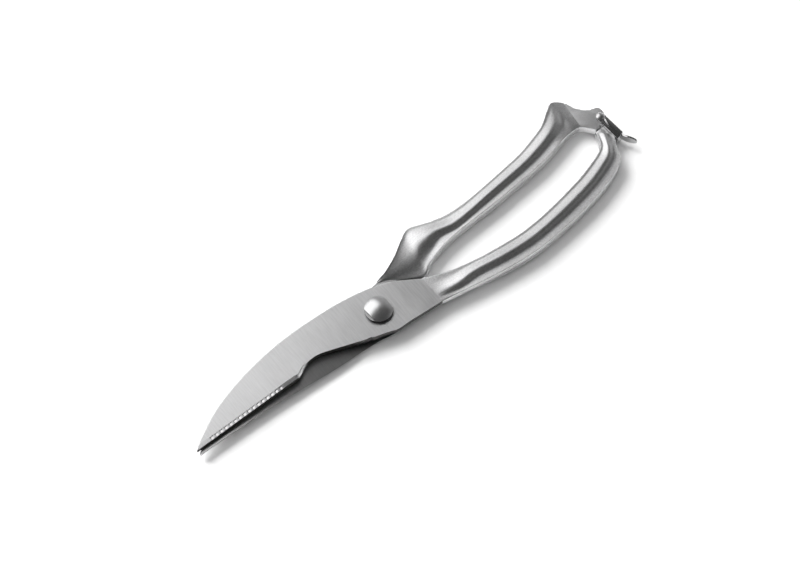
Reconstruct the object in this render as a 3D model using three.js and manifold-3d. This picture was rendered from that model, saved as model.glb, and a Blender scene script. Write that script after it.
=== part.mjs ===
// Poultry shears with a spring in the pivot and a latch on the handle ends.
// Millimetres, +Z up. The shears lie closed on their side: blade tips at -X, handles at +X.
// The origin is on the pivot axis, on the flat underside of the pivot nut.
import * as THREE from 'three';
import { mergeVertices } from 'three/addons/utils/BufferGeometryUtils.js';
import Module from 'manifold-3d';

const wasm = await Module();
wasm.setup();

// ---------------------------------------------------------------- driving dimensions

// Heights. Both blades are flat plates that slide on each other at the middle of the thickness.
const MID_Z = 5.1;
const SLIDE_GAP = 0.2;
const PLATE = 3;
const FRONT_LOW = MID_Z + SLIDE_GAP / 2;
const FRONT_TOP = FRONT_LOW + PLATE;
const REAR_TOP = MID_Z - SLIDE_GAP / 2;
const REAR_LOW = REAR_TOP - PLATE;

// Handles: two pressed half shells, a flat rim along each side and a dome between the rims.
const HANDLE_HALF = 5.1;
const RIM_HALF = SLIDE_GAP / 2 + PLATE;
const RIM_WIDTH = 1.4;
const SHELL_WALL = 1.2;
const SEAM_GAP = 0.3;
const TANG = 1.2;
const TANG_INSET = 0.4;
const FIT_GAP = 0.3;

// Cutting edge of the front blade.
const EDGE_Y = -4.1;
const EDGE_START_X = -99.5;
const EDGE_END_X = -47;
const STEEP_BEVEL = { width: 0.8, height: 2.1 };
const SHALLOW_BEVEL = { width: 2.9, height: PLATE };
const TOOTH_COUNT = 16;
const TOOTH_PITCH = 2.44;
const TOOTH_DEPTH = 0.8;
const FIRST_TOOTH_X = -93.4;
const TOOTH_FLANK = 0.35;

// Cutting edge of the rear blade: ground from below, over part of the plate's thickness.
const REAR_BEVEL = { width: 1.6, height: 1.2 };

// Pivot.
const HEAD_RADIUS = 6.4;
const HEAD_FLAT = 5.2;
const HEAD_RISE = 2.2;
const HEAD_RIM = 0.5;
const WASHER_THICK = 0.4;
const PIVOT_PLAY = 0.05;
const NUT_FLANGE_RADIUS = 6;
const THREAD_START = 1.8;
const BARREL_RADIUS = 3.6;
const BORE_RADIUS = 3.8;
const SHANK_RADIUS = 2.2;
const THREAD_RADIUS = 2.45;

// Torsion spring, coiled round the pivot barrel in a recess that both blades share.
const RECESS_RADIUS = 7;
const RECESS_DEPTH = 1.2;
const COIL_RADIUS = 5.4;
const WIRE_RADIUS = 0.4;
const COIL_TURNS = 2;
const LEG_REACH = 8.2;
const LEG_LENGTH = 1.4;
const SLOT_INNER = 6;
const SLOT_REACH = 8.9;
const SLOT_HALF_DEG = 8;
const COIL_CLEARANCE = 0.12;

// Latch: a stamped U that straddles both handle ends, on a pin through the rear lug.
const LATCH_PIN = new THREE.Vector2(142.9, 15.1);
const LATCH_END_Y = 1;
const LATCH_SHEET = 0.9;
const LATCH_WIDTH = 4.2;
const LATCH_END_RISE = 1.2;
const LATCH_SKEW = 0.35;
const TAB_ROOT = new THREE.Vector2(144.9, 2.3);
const TAB_LEAN = -59;
const TAB_LENGTH = 7.8;
const TAB_HALF = 2;
const TAB_NECK = 1.0;
const TAB_DROP = 0.5;
const END_HALF = 2.1;
const PIN_RADIUS = 1.25;
const PIN_HOLE = 1.5;
const PIN_HEAD = 2.1;
const PIN_HEAD_EDGE = 0.2;
const PIN_HEAD_RISE = 0.9;
const PIN_PLAY = 0.1;

const BLADE_PIVOT_OPEN = 38;

// How far a cutting tool runs past the face that it cuts.
const OVERCUT = 3;

// ---------------------------------------------------------------- materials

const steel = (color, roughness) => new THREE.MeshStandardMaterial({ color, roughness, metalness: 1 });
const brushedSteel = steel(0xb8b8ba, 0.42);
const satinSteel = steel(0xc8c8ca, 0.3);
const polishedSteel = steel(0xd4d4d6, 0.14);
const springSteel = steel(0x8e9094, 0.35);

// ---------------------------------------------------------------- helpers

const pt = (x, y) => new THREE.Vector2(x, y);
const points = (pairs) => pairs.map(([x, y]) => pt(x, y));
const smooth = (pairs, count) => new THREE.SplineCurve(points(pairs)).getPoints(count);

function solid(geometry) {
  const bare = geometry.clone();
  bare.deleteAttribute('normal');
  bare.deleteAttribute('uv');
  const merged = mergeVertices(bare, 1e-5);
  return new wasm.Manifold(new wasm.Mesh({
    numProp: 3,
    vertProperties: new Float32Array(merged.attributes.position.array),
    triVerts: new Uint32Array(merged.index.array),
  }));
}

function toGeometry(manifold) {
  const mesh = manifold.getMesh();
  const geometry = new THREE.BufferGeometry();
  geometry.setAttribute('position', new THREE.BufferAttribute(mesh.vertProperties, 3));
  geometry.setIndex(new THREE.BufferAttribute(mesh.triVerts, 1));
  geometry.computeVertexNormals();
  return geometry;
}

// A flat plate: an outline in plan, from one height to another.
function plate(outline, low, high) {
  const shape = new THREE.Shape(outline);
  const geometry = new THREE.ExtrudeGeometry(shape, { depth: high - low, bevelEnabled: false });
  geometry.translate(0, 0, low);
  return solid(geometry);
}

function disc(radius, low, high, centre = pt(0, 0), sides = 40) {
  const geometry = new THREE.CylinderGeometry(radius, radius, high - low, sides);
  geometry.rotateX(Math.PI / 2);
  geometry.translate(centre.x, centre.y, (low + high) / 2);
  return solid(geometry);
}

// A prism that runs along X, from an outline in the YZ plane.
function prismAlongX(outlineYZ, fromX, toX) {
  const shape = new THREE.Shape(outlineYZ);
  const geometry = new THREE.ExtrudeGeometry(shape, { depth: toX - fromX, bevelEnabled: false });
  geometry.rotateX(Math.PI / 2);
  geometry.rotateZ(Math.PI / 2);
  geometry.translate(fromX, 0, 0);
  return solid(geometry);
}

// A sector of a ring round the pivot, between two angles in degrees.
function sector(inner, outer, fromDeg, toDeg, low, high) {
  const from = THREE.MathUtils.degToRad(fromDeg);
  const to = THREE.MathUtils.degToRad(toDeg);
  const shape = new THREE.Shape();
  shape.absarc(0, 0, outer, from, to, false);
  shape.absarc(0, 0, inner, to, from, true);
  return plate(shape.getPoints(6), low, high);
}

// A closed body through a row of sections that all have the same number of points.
function loft(sections) {
  const ring = sections[0].length;
  const positions = sections.flat().flatMap((p) => [p.x, p.y, p.z]);
  const index = [];
  for (let s = 0; s + 1 < sections.length; s += 1) {
    for (let i = 0; i < ring; i += 1) {
      const a = s * ring + i;
      const b = s * ring + ((i + 1) % ring);
      index.push(a, b, b + ring, a, b + ring, a + ring);
    }
  }
  // Each end is closed by a fan round the middle of its section.
  const closeEnd = (section, first, flip) => {
    const middle = section.reduce((sum, p) => sum.add(p), new THREE.Vector3()).divideScalar(ring);
    const hub = positions.push(middle.x, middle.y, middle.z) / 3 - 1;
    for (let i = 0; i < ring; i += 1) {
      const here = first + i;
      const next = first + ((i + 1) % ring);
      index.push(hub, flip ? next : here, flip ? here : next);
    }
  };
  closeEnd(sections[0], 0, true);
  closeEnd(sections[sections.length - 1], (sections.length - 1) * ring, false);
  const geometry = new THREE.BufferGeometry();
  geometry.setAttribute('position', new THREE.Float32BufferAttribute(positions, 3));
  geometry.setIndex(index);
  let body = solid(geometry);
  if (body.volume() < 0) {
    geometry.setIndex(index.toReversed());
    body = solid(geometry);
  }
  return body;
}

// ---------------------------------------------------------------- handles

// A handle is a row of stations: its left edge, its right edge, and how its two skins stand there.
// A skin is given by the heights of its left rim, right rim and dome above the middle plane.
// The plain skin runs on from the flat face of its own blade. The ramp skin is the one on the other
// side: it starts low, where the other blade slides past, and rises to full height.
const station = (left, right, plain, ramp) => ({ left, right, plain, ramp });
const FLUSH = [RIM_HALF, RIM_HALF, RIM_HALF];
const FULL = [RIM_HALF, RIM_HALF, HANDLE_HALF];

const FRONT_HANDLE = [
  station([25.0, 0.6], [25.0, -13.9], FLUSH, [0.4, 0.4, 0.5]),
  station([36.5, -3.9], [36.0, -15.9], [RIM_HALF, RIM_HALF, 4.3], [1.4, 0.8, 2.0]),
  station([47.0, -6.3], [46.0, -17.6], FULL, [2.6, 1.6, 4.0]),
  station([60.0, -8.1], [60.0, -19.6], FULL, [3.0, 2.6, 4.9]),
  station([74.0, -9.1], [75.0, -20.6], FULL, FULL),
  station([87.0, -8.4], [89.0, -19.6], FULL, FULL),
  station([100.0, -6.5], [103.0, -18.0], FULL, FULL),
  station([113.0, -4.1], [117.0, -15.3], FULL, FULL),
  station([121.5, -1.7], [128.0, -11.9], FULL, FULL),
  station([128.5, 0.7], [134.9, -8.1], FULL, FULL),
  station([132.4, 3.2], [137.2, -3.4], [3.0, 3.0, 4.4], [3.0, 3.0, 4.4]),
  station([134.3, 6.2], [139.6, 0.6], [2.9, 2.9, 3.6], [2.9, 2.9, 3.6]),
];

const REAR_HANDLE = [
  station([8.6, 12.9], [10.6, 11.6], FLUSH, [1.2, 0.3, 1.3]),
  station([15.2, 14.2], [14.8, 9.0], FLUSH, [2.0, 0.4, 2.1]),
  station([22.5, 17.3], [20.9, 5.2], FLUSH, [2.8, 0.5, 2.9]),
  station([29.5, 21.6], [27.4, 1.6], [RIM_HALF, RIM_HALF, 3.6], [RIM_HALF, 1.0, 3.9]),
  station([35.0, 24.3], [32.0, 4.0], [RIM_HALF, RIM_HALF, 4.5], [RIM_HALF, 2.6, 4.6]),
  station([40.0, 23.1], [37.5, 6.2], FULL, FULL),
  station([46.0, 20.9], [44.5, 7.8], FULL, FULL),
  station([53.0, 19.4], [53.0, 8.9], FULL, FULL),
  station([62.0, 18.9], [62.0, 9.4], FULL, FULL),
  station([74.0, 19.8], [74.0, 9.9], FULL, FULL),
  station([87.0, 21.3], [88.0, 11.1], FULL, FULL),
  station([99.0, 22.9], [101.0, 12.3], FULL, FULL),
  station([109.0, 25.4], [111.5, 14.0], FULL, FULL),
  station([118.0, 28.4], [119.5, 16.0], FULL, FULL),
  station([125.2, 33.0], [125.5, 17.2], [3.0, 2.9, 4.9], [3.0, 2.9, 4.9]),
  station([130.4, 35.7], [129.5, 17.5], [2.9, 2.8, 4.2], [2.9, 2.8, 4.2]),
  station([135.0, 32.6], [132.4, 17.2], [2.6, 2.6, 2.8], [2.6, 2.6, 2.8]),
];

const DOME_STEPS = 6;
const SECTIONS_PER_STATION = 2.5;

// Sample the stations as smooth curves: each value runs through the stations on a spline.
function handleAt(stations, skinName, u) {
  const along = (pick) => {
    const values = stations.map(pick);
    return new THREE.SplineCurve(values.map((v, i) => pt(i, v))).getPoint(u).y;
  };
  return {
    left: pt(along((s) => s.left[0]), along((s) => s.left[1])),
    right: pt(along((s) => s.right[0]), along((s) => s.right[1])),
    leftRim: along((s) => s[skinName][0]),
    rightRim: along((s) => s[skinName][1]),
    top: along((s) => s[skinName][2]),
  };
}

// Height of the outer skin above the middle plane at a distance from the left edge.
function skin(section, fromLeft, width) {
  const rimMix = fromLeft / width;
  const rim = THREE.MathUtils.lerp(section.leftRim, section.rightRim, rimMix);
  const inside = (fromLeft - RIM_WIDTH) / Math.max(width - 2 * RIM_WIDTH, 0.5);
  if (inside <= 0 || inside >= 1) {
    return rim;
  }
  const bulge = Math.sin(Math.PI * inside) ** 0.8;
  return rim + Math.max(Math.min(section.top, HANDLE_HALF) - rim, 0) * bulge;
}

// One section of a half shell. side is +1 for the upper shell, -1 for the lower one.
function shellSection(section, side, inset, drop, seam) {
  const across = section.right.clone().sub(section.left);
  const width = across.length();
  const unit = across.clone().normalize();
  const reach = Math.min(RIM_WIDTH, width / 4);
  const stops = [inset, Math.max(reach, inset + 0.1)];
  for (let i = 1; i < DOME_STEPS; i += 1) {
    stops.push(THREE.MathUtils.lerp(stops[1], width - stops[1], i / DOME_STEPS));
  }
  stops.push(width - stops[1], width - inset);
  const at = (d, height) => {
    const p = section.left.clone().addScaledVector(unit, d);
    return new THREE.Vector3(p.x, p.y, MID_Z + side * height);
  };
  const outer = stops.map((d) => at(d, Math.max(skin(section, d, width) - drop, seam + 0.1)));
  return [at(inset, seam), ...outer, at(width - inset, seam)];
}

// A loft of half-shell sections between two stations, counted from 0 at the blade end.
function shellLoft(stations, skinName, side, from, to, inset = 0, drop = 0, seam = SEAM_GAP / 2) {
  const last = stations.length - 1;
  const count = Math.ceil((to - from) * SECTIONS_PER_STATION);
  const sections = [];
  for (let i = 0; i <= count; i += 1) {
    const at = THREE.MathUtils.lerp(from, to, i / count);
    sections.push(shellSection(handleAt(stations, skinName, at / last), side, inset, drop, seam));
  }
  return loft(sections);
}

// ---------------------------------------------------------------- blades

const FRONT_SPINE = [
  [-101.4, -4.2], [-97.5, -1.0], [-93.0, 1.6], [-84.4, 6.0], [-73.9, 9.6], [-61.2, 12.5], [-48.0, 14.4],
  [-34.9, 15.1], [-18.2, 14.6], [-5.8, 13.2], [4.7, 11.0], [12.8, 8.0], [20.0, 3.8], [24.8, 0.7],
];
const FRONT_NOTCH = [
  [EDGE_END_X, EDGE_Y], [-44.8, -3.2], [-41.9, -1.6], [-39.1, -0.8], [-36.2, -0.5], [-32.7, -1.0],
  [-28.4, -2.4], [-19.7, -5.5], [-13.7, -8.0], [-11.0, -8.9], [-9.4, -10.4], [-6.0, -11.6], [0, -12.6],
  [8, -12.8], [16, -13.4], [24.8, -13.9],
];
const FRONT_TANG = [[22, -10.0], [47, -14.4], [47, -9.6], [22, -4.4]];

function frontBlade() {
  const spine = smooth(FRONT_SPINE, 36);
  const edge = smooth(FRONT_NOTCH, 36).reverse();
  const outline = [...spine, ...edge];
  for (let tooth = TOOTH_COUNT - 1; tooth >= 0; tooth -= 1) {
    const middle = FIRST_TOOTH_X + (tooth + 0.5) * TOOTH_PITCH;
    const flank = TOOTH_FLANK * TOOTH_PITCH;
    outline.push(pt(middle + flank, EDGE_Y), pt(middle, EDGE_Y + TOOTH_DEPTH), pt(middle - flank, EDGE_Y));
  }
  outline.push(pt(EDGE_START_X, EDGE_Y));
  const outside = EDGE_Y - OVERCUT;
  const above = FRONT_TOP + OVERCUT;
  const bevel = prismAlongX([
    pt(outside, FRONT_LOW),
    pt(EDGE_Y, FRONT_LOW),
    pt(EDGE_Y + STEEP_BEVEL.width, FRONT_LOW + STEEP_BEVEL.height),
    pt(EDGE_Y + SHALLOW_BEVEL.width, FRONT_LOW + SHALLOW_BEVEL.height),
    pt(EDGE_Y + SHALLOW_BEVEL.width, above),
    pt(outside, above),
  ], FRONT_SPINE[0][0] - OVERCUT, EDGE_END_X);
  const tang = plate(points(FRONT_TANG), FRONT_LOW + TANG_INSET, FRONT_LOW + TANG_INSET + TANG);
  const below = FRONT_LOW - OVERCUT;
  const recessTop = FRONT_LOW + RECESS_DEPTH;
  return plate(outline, FRONT_LOW, FRONT_TOP)
    .subtract(bevel)
    .add(tang)
    .subtract(disc(BORE_RADIUS, below, above))
    .subtract(disc(RECESS_RADIUS, below, recessTop))
    .subtract(sector(SLOT_INNER, SLOT_REACH, 180 - SLOT_HALF_DEG, 180 + SLOT_HALF_DEG, below, recessTop));
}

// The rear blade lies under the front one. Its cutting edge is the one on the +Y side.
const REAR_EDGE = [
  [-100.6, -5.0], [-97.5, -3.4], [-90.0, -2.2], [-60.0, 0.6], [-22.0, 4.0], [-15.0, 6.4], [-9.5, 10.2],
  [-2.0, 12.2], [5.2, 12.2], [13.0, 13.2], [20.0, 16.0], [24.2, 18.0],
];
const REAR_SPINE = [
  [24.2, -0.3], [19.4, -3.6], [13.0, -7.6], [5.0, -10.8], [-1.8, -10.5], [-10.0, -9.6], [-30.0, -9.2],
  [-45.0, -8.1], [-60.0, -7.1], [-75.0, -6.4], [-95.0, -6.0], [-99.6, -5.9],
];
const REAR_TANG = [[22, 14.0], [46, 17.0], [46, 11.5], [22, 6.0]];

// The strip along the straight part of that edge that the bevel is ground into.
const REAR_BEVEL_STRIP = [[-104, -5.5], [-90, -2.2], [-60, 0.6], [-22, 4.0], [-24, 9], [-104, 4]];

function rearBlade() {
  const outline = [...smooth(REAR_EDGE, 36), ...smooth(REAR_SPINE, 30)];
  const below = REAR_LOW - OVERCUT;
  const above = REAR_TOP + OVERCUT;
  const bevel = plate(points(REAR_BEVEL_STRIP), below, REAR_LOW + REAR_BEVEL.height)
    .translate([0, -REAR_BEVEL.width, 0]);
  const tang = plate(points(REAR_TANG), REAR_TOP - TANG_INSET - TANG, REAR_TOP - TANG_INSET);
  const recessFloor = REAR_TOP - RECESS_DEPTH;
  const legFrom = -SLOT_HALF_DEG - BLADE_PIVOT_OPEN;
  return plate(outline, REAR_LOW, REAR_TOP)
    .subtract(bevel)
    .add(tang)
    .subtract(disc(BORE_RADIUS, below, above))
    .subtract(disc(RECESS_RADIUS, recessFloor, above))
    .subtract(sector(SLOT_INNER, SLOT_REACH, legFrom, SLOT_HALF_DEG, recessFloor, above));
}

// ---------------------------------------------------------------- end plates

// The flat hook at the end of the front handle that the latch drops over.
const CATCH_PLATE = [
  [127.0, -4.5], [133.0, -1.0], [134.6, 6.2], [135.4, 8.4], [136.0, 10.5], [141.8, 10.8], [142.9, 10.0],
  [143.2, 8.0], [143.2, 4.4], [142.4, 3.4], [140.6, 2.5], [138.6, -1.2], [131.0, -8.0],
];

// The flat lug at the end of the rear handle that carries the latch pin.
const LUG_PLATE = [
  [122.0, 21.0], [124.0, 28.0], [132.0, 30.6], [135.6, 31.4], [137.1, 26.6], [139.6, 23.2], [142.1, 21.4],
  [145.0, 20.7], [146.3, 19.6], [146.5, 17.4], [145.7, 13.6], [144.8, 12.3], [139.8, 12.3], [139.4, 11.2],
  [137.2, 11.2], [136.3, 12.6], [134.1, 15.4], [132.0, 17.1], [129.0, 19.5],
];

function catchPlate() {
  return plate(points(CATCH_PLATE), MID_Z - END_HALF, MID_Z + END_HALF);
}

function lugPlate() {
  return plate(points(LUG_PLATE), MID_Z - END_HALF, MID_Z + END_HALF)
    .subtract(disc(PIN_HOLE, 0, MID_Z * 2, LATCH_PIN, 24));
}

// ---------------------------------------------------------------- handle shells

// The room that an end plate takes out of the shells round it, with a gap on every side.
function slotFor(outline) {
  const room = plate(points(outline), MID_Z - END_HALF - FIT_GAP, MID_Z + END_HALF + FIT_GAP);
  return [[1, 0], [-1, 0], [0, 1], [0, -1]].reduce(
    (sum, [x, y]) => sum.add(room.translate([x * FIT_GAP, y * FIT_GAP, 0])),
    room,
  );
}

// One half shell of a handle. A hollow is a smaller loft that starts a little before the shell does,
// so the shell is open towards its blade's tang.
function halfShell(stations, skinName, side, from, hollowFrom, endPlate) {
  const last = stations.length - 1;
  const body = shellLoft(stations, skinName, side, from, last);
  const hollow = shellLoft(stations, skinName, side, hollowFrom, last - 0.1, SHELL_WALL, SHELL_WALL, -0.5);
  return body.subtract(hollow).subtract(slotFor(endPlate));
}

// ---------------------------------------------------------------- pivot

const TOP_WASHER_LOW = FRONT_TOP + PIVOT_PLAY;
const HEAD_LOW = TOP_WASHER_LOW + WASHER_THICK + PIVOT_PLAY;
const BOTTOM_WASHER_LOW = REAR_LOW - PIVOT_PLAY - WASHER_THICK;
const NUT_TOP = BOTTOM_WASHER_LOW - PIVOT_PLAY;
const BARREL_TOP = FRONT_TOP - 0.6;
const SCREW_END = THREAD_START + 0.4;
const DOME_ARC_STEPS = 6;

function washer(hole, low) {
  const high = low + WASHER_THICK;
  return disc(HEAD_RADIUS, low, high).subtract(disc(hole, low - OVERCUT, high + OVERCUT));
}

// A shank under a low domed head with two flats, which a spanner turns.
function pivotScrew() {
  const rimTop = HEAD_LOW + HEAD_RIM;
  const profile = [
    pt(0, SCREW_END), pt(SHANK_RADIUS, SCREW_END), pt(SHANK_RADIUS, HEAD_LOW), pt(HEAD_RADIUS, HEAD_LOW),
  ];
  for (let step = 0; step < DOME_ARC_STEPS; step += 1) {
    const angle = (Math.PI / 2) * (step / DOME_ARC_STEPS);
    profile.push(pt(HEAD_RADIUS * Math.cos(angle), rimTop + HEAD_RISE * Math.sin(angle)));
  }
  profile.push(pt(0, rimTop + HEAD_RISE));
  const lathe = new THREE.LatheGeometry(profile, 40);
  lathe.rotateX(Math.PI / 2);
  const flats = [1, -1].map((side) => {
    const block = new THREE.BoxGeometry(OVERCUT, 4 * HEAD_FLAT, 4 * HEAD_RISE);
    block.translate(side * (HEAD_FLAT + OVERCUT / 2), 0, rimTop + 2 * HEAD_RISE);
    return solid(block);
  });
  return solid(lathe).subtract(flats[0]).subtract(flats[1]);
}

// A flanged sleeve nut: the blades turn on its barrel and the screw goes into it.
function pivotNut() {
  return disc(NUT_FLANGE_RADIUS, 0, NUT_TOP)
    .add(disc(BARREL_RADIUS, NUT_TOP / 2, BARREL_TOP))
    .subtract(disc(THREAD_RADIUS, THREAD_START, BARREL_TOP + OVERCUT));
}

// A coil of round wire with a leg at each end: the upper leg in the front blade, the lower in the rear one.
function torsionSpring() {
  const lowZ = REAR_TOP - RECESS_DEPTH + WIRE_RADIUS + COIL_CLEARANCE;
  const highZ = FRONT_LOW + RECESS_DEPTH - WIRE_RADIUS - COIL_CLEARANCE;
  const steps = 40;
  const turn = Math.PI * (2 * COIL_TURNS - 1);
  const bend = 0.3;
  const path = [new THREE.Vector3(LEG_REACH, 0, lowZ), new THREE.Vector3(LEG_REACH - LEG_LENGTH, 0, lowZ)];
  for (let i = 1; i < steps; i += 1) {
    const angle = THREE.MathUtils.lerp(bend, turn - bend, i / steps);
    const z = THREE.MathUtils.lerp(lowZ, highZ, i / steps);
    path.push(new THREE.Vector3(COIL_RADIUS * Math.cos(angle), COIL_RADIUS * Math.sin(angle), z));
  }
  path.push(new THREE.Vector3(LEG_LENGTH - LEG_REACH, 0, highZ), new THREE.Vector3(-LEG_REACH, 0, highZ));
  const wire = new THREE.Shape();
  wire.absarc(0, 0, WIRE_RADIUS, 0, Math.PI * 2);
  const geometry = new THREE.ExtrudeGeometry(new THREE.Shape(wire.getPoints(4).slice(0, -1)), {
    steps: 70, bevelEnabled: false, extrudePath: new THREE.CatmullRomCurve3(path),
  });
  return solid(geometry);
}

// ---------------------------------------------------------------- latch

const ARM_LOW = MID_Z - END_HALF - FIT_GAP - LATCH_SHEET;
const ARM_TOP = MID_Z + END_HALF + FIT_GAP + LATCH_SHEET;

// Two arms, one over and one under the handle ends, joined by a bridge beyond the catch.
function latch() {
  const half = LATCH_WIDTH / 2;
  const left = LATCH_PIN.x - half + LATCH_SKEW;
  const right = LATCH_PIN.x + half + LATCH_SKEW;
  const arm = new THREE.Shape();
  arm.moveTo(left, LATCH_END_Y);
  arm.lineTo(right, LATCH_END_Y + LATCH_END_RISE);
  arm.lineTo(LATCH_PIN.x + half, LATCH_PIN.y);
  arm.absarc(LATCH_PIN.x, LATCH_PIN.y, half, 0, Math.PI, false);
  const outline = arm.getPoints(6);
  const upperArm = plate(outline, ARM_TOP - LATCH_SHEET, ARM_TOP);
  const lowerArm = plate(outline, ARM_LOW, ARM_LOW + LATCH_SHEET);
  const bridge = plate(points([
    [left, LATCH_END_Y],
    [right, LATCH_END_Y + LATCH_END_RISE],
    [right, LATCH_END_Y + LATCH_END_RISE + LATCH_SHEET],
    [left, LATCH_END_Y + LATCH_SHEET],
  ]), ARM_LOW, ARM_TOP);
  return upperArm.add(lowerArm)
    .add(bridge)
    .add(tabPlate())
    .subtract(disc(PIN_HOLE, 0, MID_Z * 2, LATCH_PIN, 24));
}

// The thumb tab: a small upright lens-shaped plate that leans away from the handles.
function tabPlate() {
  const shape = new THREE.Shape();
  const swell = TAB_LENGTH / 3;
  shape.moveTo(0, -TAB_NECK);
  shape.bezierCurveTo(swell, -TAB_HALF * 1.4, TAB_LENGTH, -TAB_HALF, TAB_LENGTH, 0);
  shape.bezierCurveTo(TAB_LENGTH, TAB_HALF, swell, TAB_HALF * 1.4, 0, TAB_NECK);
  const geometry = new THREE.ExtrudeGeometry(shape, {
    depth: LATCH_SHEET, bevelEnabled: false, curveSegments: 8,
  });
  geometry.translate(0, 0, -LATCH_SHEET / 2);
  geometry.rotateX(Math.PI / 2);
  geometry.rotateZ(THREE.MathUtils.degToRad(TAB_LEAN));
  geometry.translate(TAB_ROOT.x, TAB_ROOT.y, MID_Z - TAB_DROP);
  return solid(geometry);
}

// A rivet with a low domed head over each arm.
function latchPin() {
  const half = END_HALF + FIT_GAP + LATCH_SHEET + PIN_PLAY;
  const crown = PIN_HEAD * 0.6;
  const head = [pt(PIN_HEAD, half), pt(PIN_HEAD, half + PIN_HEAD_EDGE), pt(crown, half + PIN_HEAD_RISE * 0.9),
    pt(0, half + PIN_HEAD_RISE)];
  const foot = head.map((p) => pt(p.x, -p.y)).reverse();
  const profile = [...foot, pt(PIN_RADIUS, -half), pt(PIN_RADIUS, half), ...head];
  const lathe = new THREE.LatheGeometry(profile, 24);
  lathe.rotateX(Math.PI / 2);
  lathe.translate(LATCH_PIN.x, LATCH_PIN.y, MID_Z);
  return solid(lathe);
}

// ---------------------------------------------------------------- assembly

const shears = new THREE.Group();

function add(name, manifold, material) {
  const mesh = new THREE.Mesh(toGeometry(manifold), material);
  mesh.name = name;
  shears.add(mesh);
}

add('front_blade', frontBlade(), brushedSteel);
add('front_handle_upper_shell', halfShell(FRONT_HANDLE, 'plain', 1, 0.02, 0, CATCH_PLATE), satinSteel);
add('front_handle_lower_shell', halfShell(FRONT_HANDLE, 'ramp', -1, 0.45, 1.6, CATCH_PLATE), satinSteel);
add('front_catch_plate', catchPlate(), satinSteel);
add('rear_blade', rearBlade(), brushedSteel);
add('rear_handle_upper_shell', halfShell(REAR_HANDLE, 'ramp', 1, 0, 4.4, LUG_PLATE), satinSteel);
add('rear_handle_lower_shell', halfShell(REAR_HANDLE, 'plain', -1, 2.85, 2.5, LUG_PLATE), satinSteel);
add('rear_lug_plate', lugPlate(), satinSteel);
add('pivot_screw', pivotScrew(), polishedSteel);
add('pivot_washer_top', washer(SHANK_RADIUS + FIT_GAP, TOP_WASHER_LOW), polishedSteel);
add('pivot_washer_bottom', washer(BARREL_RADIUS + 0.2, BOTTOM_WASHER_LOW), polishedSteel);
add('pivot_nut', pivotNut(), polishedSteel);
add('torsion_spring', torsionSpring(), springSteel);
add('latch', latch(), polishedSteel);
add('latch_pin', latchPin(), polishedSteel);

export default shears;
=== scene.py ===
"""Looks of the poultry shears: fine steel meshes, a pale floor and soft studio light.

The lengths of the shears are in millimetres in the row frame (+X from the blade tips to the
handles, +Z up) and are turned into metres where a mesh is made.
"""

import math

import bmesh
import bpy
import numpy as np
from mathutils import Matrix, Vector


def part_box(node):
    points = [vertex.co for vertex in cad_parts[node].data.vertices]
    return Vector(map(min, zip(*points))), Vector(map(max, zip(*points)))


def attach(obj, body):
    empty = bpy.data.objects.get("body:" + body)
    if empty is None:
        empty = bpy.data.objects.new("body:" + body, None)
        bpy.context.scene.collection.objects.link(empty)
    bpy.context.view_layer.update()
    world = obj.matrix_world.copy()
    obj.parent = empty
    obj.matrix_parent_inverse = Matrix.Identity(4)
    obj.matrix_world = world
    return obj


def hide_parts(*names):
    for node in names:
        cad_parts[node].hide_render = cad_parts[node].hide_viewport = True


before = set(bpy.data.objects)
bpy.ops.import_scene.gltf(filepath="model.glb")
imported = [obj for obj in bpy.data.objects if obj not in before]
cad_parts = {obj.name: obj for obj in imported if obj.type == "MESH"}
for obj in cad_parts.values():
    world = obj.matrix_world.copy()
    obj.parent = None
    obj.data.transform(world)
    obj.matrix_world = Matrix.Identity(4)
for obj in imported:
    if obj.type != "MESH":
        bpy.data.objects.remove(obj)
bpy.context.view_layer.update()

MM = 0.001

# ---------------------------------------------------------------- camera

CAMERA_ELEVATION = 62.0
CAMERA_AZIMUTH = -38.6
CAMERA_DISTANCE = 0.840
CAMERA_TARGET = Vector((0.01647, 0.00567, 0.0050))
CAMERA_LENS = 85.135


def make_camera():
    azimuth = math.radians(CAMERA_AZIMUTH)
    elevation = math.radians(CAMERA_ELEVATION)
    back = Vector((
        math.sin(azimuth) * math.cos(elevation),
        -math.cos(azimuth) * math.cos(elevation),
        math.sin(elevation),
    ))
    data = bpy.data.cameras.new("camera")
    data.lens = CAMERA_LENS
    data.sensor_width = 36.0
    data.clip_start = 0.01
    camera = bpy.data.objects.new("camera", data)
    camera.location = CAMERA_TARGET + back * CAMERA_DISTANCE
    camera.rotation_euler = (-back).to_track_quat("-Z", "Y").to_euler()
    bpy.context.scene.collection.objects.link(camera)
    bpy.context.scene.camera = camera


make_camera()

# ---------------------------------------------------------------- heights

# MID_Z is the seam between the upper and lower handle shells. RIM is how far a full rim is from it.
cad_front_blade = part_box("front_blade")
cad_rear_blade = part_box("rear_blade")
FRONT_LOW = cad_front_blade[0].z / MM
FRONT_TOP = cad_front_blade[1].z / MM
REAR_LOW = cad_rear_blade[0].z / MM
REAR_TOP = cad_rear_blade[1].z / MM
MID_Z = (FRONT_LOW + REAR_TOP) / 2
RIM = FRONT_TOP - MID_Z

# ---------------------------------------------------------------- curves

OUTLINE_SAMPLES = 60


def spline(values, u):
    """A uniform Catmull-Rom curve through values or rows, at u from 0 to len(values) - 1."""
    values = np.asarray(values, float)
    last = len(values) - 1
    i = min(int(math.floor(u)), last - 1)
    t = u - i
    before = values[max(i - 1, 0)]
    here = values[i]
    there = values[i + 1]
    after = values[min(i + 2, last)]
    leave = (there - before) / 2
    arrive = (after - here) / 2
    return ((2 * here - 2 * there + leave + arrive) * t ** 3
            + (-3 * here + 3 * there - 2 * leave - arrive) * t ** 2 + leave * t + here)


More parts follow.
